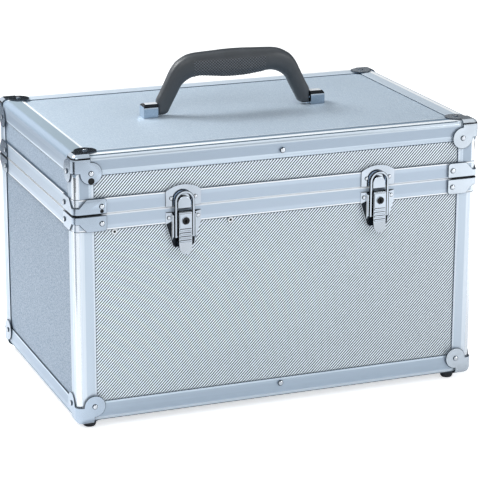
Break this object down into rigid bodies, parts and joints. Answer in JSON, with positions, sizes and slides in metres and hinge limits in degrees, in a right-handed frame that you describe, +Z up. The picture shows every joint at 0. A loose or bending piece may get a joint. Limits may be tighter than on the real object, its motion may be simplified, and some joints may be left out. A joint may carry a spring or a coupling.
{
  "type": "aluminium carry case",
  "caption": "Rigid aluminium-framed carry case with a deep body, a hinged lid, draw latches with locks, a folding top handle, corner caps and rubber feet.",
  "frame": {"origin": "on the floor under the middle of the whole case, at the bottom of the feet", "axes": "+X right along the long front, +Y from the latches to the hinge, +Z up"},
  "size_m": [0.425, 0.2772, 0.3367],
  "materials": {
    "frame_profile": "satin anodised extrusion",
    "dimpled_panel": "fine diagonal embossed sheet",
    "corner_sheet": "satin pressed sheet with bright rivets",
    "chrome_plate": "bright plated",
    "zinc_steel": "zinc plated",
    "foot_rubber": "matte",
    "grip_plastic": "fine moulded texture"
  },
  "bodies": {
    "case_body": {"bottom_rails": "frame_profile", "body_rim": "frame_profile", "body_post_front_left": "frame_profile", "body_post_front_right": "frame_profile", "body_post_back_left": "frame_profile", "body_post_back_right": "frame_profile", "body_front_panel": "dimpled_panel", "body_back_panel": "dimpled_panel", "body_left_panel": "dimpled_panel", "body_right_panel": "dimpled_panel", "body_bottom_panel": "dimpled_panel", "bottom_cap_front_left": "corner_sheet", "bottom_cap_front_right": "corner_sheet", "bottom_cap_back_left": "corner_sheet", "bottom_cap_back_right": "corner_sheet", "body_brace_front_left": "corner_sheet", "body_brace_front_right": "corner_sheet", "body_brace_back_left": "corner_sheet", "body_brace_back_right": "corner_sheet", "foot_front_left": "foot_rubber", "foot_front_right": "foot_rubber", "foot_back_left": "foot_rubber", "foot_back_right": "foot_rubber", "latch_base_left": "chrome_plate", "latch_base_right": "chrome_plate", "hinge_body_leaf": "zinc_steel", "hinge_pin": "zinc_steel"},
    "lid": {"lid_top_rails": "frame_profile", "lid_rim": "frame_profile", "lid_front_panel": "dimpled_panel", "lid_back_panel": "dimpled_panel", "lid_left_panel": "dimpled_panel", "lid_right_panel": "dimpled_panel", "lid_top_panel": "dimpled_panel", "top_cap_front_left": "corner_sheet", "top_cap_front_right": "corner_sheet", "top_cap_back_left": "corner_sheet", "top_cap_back_right": "corner_sheet", "lid_brace_front_left": "corner_sheet", "lid_brace_front_right": "corner_sheet", "lid_brace_back_left": "corner_sheet", "lid_brace_back_right": "corner_sheet", "latch_strike_left": "chrome_plate", "latch_strike_right": "chrome_plate", "hinge_lid_leaf": "zinc_steel", "handle_bracket_left": "chrome_plate", "handle_bracket_right": "chrome_plate"},
    "handle": {"handle_grip": "grip_plastic"},
    "latch_lever_left": {"latch_lever_left": "chrome_plate"},
    "latch_bail_left": {"latch_bail_left": "chrome_plate"},
    "latch_lock_left": {"latch_lock_left": "zinc_steel"},
    "stay_lower_left": {"stay_lower_left": "zinc_steel"},
    "stay_upper_left": {"stay_upper_left": "zinc_steel"},
    "latch_lever_right": {"latch_lever_right": "chrome_plate"},
    "latch_bail_right": {"latch_bail_right": "chrome_plate"},
    "latch_lock_right": {"latch_lock_right": "zinc_steel"},
    "stay_lower_right": {"stay_lower_right": "zinc_steel"},
    "stay_upper_right": {"stay_upper_right": "zinc_steel"}
  },
  "joints": [
    {"name": "lid_hinge", "type": "hinge", "parent": "case_body", "child": "lid", "pos_m": [0, 0.136, 0.2171], "axis": [-1, 0, 0], "range_deg": [0, 100]},
    {"name": "handle_swing", "type": "hinge", "parent": "lid", "child": "handle", "pos_m": [0, 0.002, 0.2805], "axis": [1, 0, 0], "range_deg": [-80, 80]},
    {"name": "latch_left", "type": "hinge", "parent": "case_body", "child": "latch_lever_left", "pos_m": [-0.1015, -0.1334, 0.2115], "axis": [-1, 0, 0], "range_deg": [0, 115]},
    {"name": "bail_left", "type": "hinge", "parent": "latch_lever_left", "child": "latch_bail_left", "pos_m": [-0.1015, -0.1334, 0.1886], "axis": [-1, 0, 0], "range_deg": [-115, 0]},
    {"name": "lock_left", "type": "hinge", "parent": "latch_lever_left", "child": "latch_lock_left", "pos_m": [-0.1015, -0.1334, 0.2046], "axis": [0, -1, 0], "range_deg": [0, 90]},
    {"name": "stay_foot_left", "type": "hinge", "parent": "case_body", "child": "stay_lower_left", "pos_m": [-0.2, 0.04463, 0.1911], "axis": [-1, 0, 0], "range_deg": [0, 109]},
    {"name": "stay_elbow_left", "type": "hinge", "parent": "stay_lower_left", "child": "stay_upper_left", "pos_m": [-0.2, -0.04133, 0.2171], "axis": [-1, 0, 0], "range_deg": [-117, 0]},
    {"name": "latch_right", "type": "hinge", "parent": "case_body", "child": "latch_lever_right", "pos_m": [0.1015, -0.1334, 0.2115], "axis": [-1, 0, 0], "range_deg": [0, 115]},
    {"name": "bail_right", "type": "hinge", "parent": "latch_lever_right", "child": "latch_bail_right", "pos_m": [0.1015, -0.1334, 0.1886], "axis": [-1, 0, 0], "range_deg": [-115, 0]},
    {"name": "lock_right", "type": "hinge", "parent": "latch_lever_right", "child": "latch_lock_right", "pos_m": [0.1015, -0.1334, 0.2046], "axis": [0, -1, 0], "range_deg": [0, 90]},
    {"name": "stay_foot_right", "type": "hinge", "parent": "case_body", "child": "stay_lower_right", "pos_m": [0.2, 0.04463, 0.1911], "axis": [-1, 0, 0], "range_deg": [0, 109]},
    {"name": "stay_elbow_right", "type": "hinge", "parent": "stay_lower_right", "child": "stay_upper_right", "pos_m": [0.2, -0.04133, 0.2171], "axis": [-1, 0, 0], "range_deg": [-117, 0]}
  ],
  "couplings": [
    {"joint": "bail_left", "follows": "latch_left", "ratio": -1},
    {"joint": "stay_foot_left", "follows": "lid_hinge", "ratio": 1.0809},
    {"joint": "stay_elbow_left", "follows": "lid_hinge", "ratio": -1.1618},
    {"joint": "bail_right", "follows": "latch_right", "ratio": -1},
    {"joint": "stay_foot_right", "follows": "lid_hinge", "ratio": 1.0809},
    {"joint": "stay_elbow_right", "follows": "lid_hinge", "ratio": -1.1618}
  ]
}
